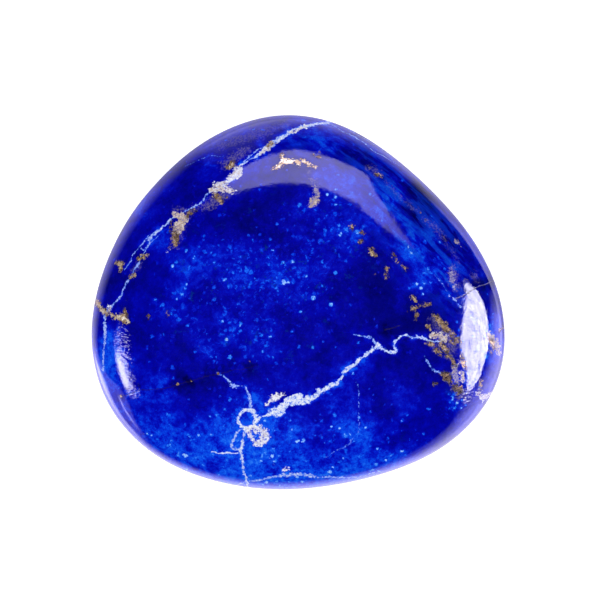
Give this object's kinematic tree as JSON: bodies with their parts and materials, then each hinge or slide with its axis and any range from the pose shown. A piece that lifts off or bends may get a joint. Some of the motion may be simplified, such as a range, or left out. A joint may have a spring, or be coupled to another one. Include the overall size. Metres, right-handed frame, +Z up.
{
  "type": "tumbled lapis lazuli stone",
  "caption": "Polished deep blue pebble with white veins and brassy flecks, resting on a small flat spot underneath.",
  "frame": {"origin": "middle of the stone's footprint, on the surface that it rests on", "axes": "+Z up out of the polished crown, +X along the longest extent, towards the picture's right; +Y towards the picture's top"},
  "size_m": [0.0322, 0.0292, 0.0119],
  "materials": {
    "lapis": "polished"
  },
  "bodies": {
    "root": {"lapis_stone": "lapis"}
  },
  "joints": []
}
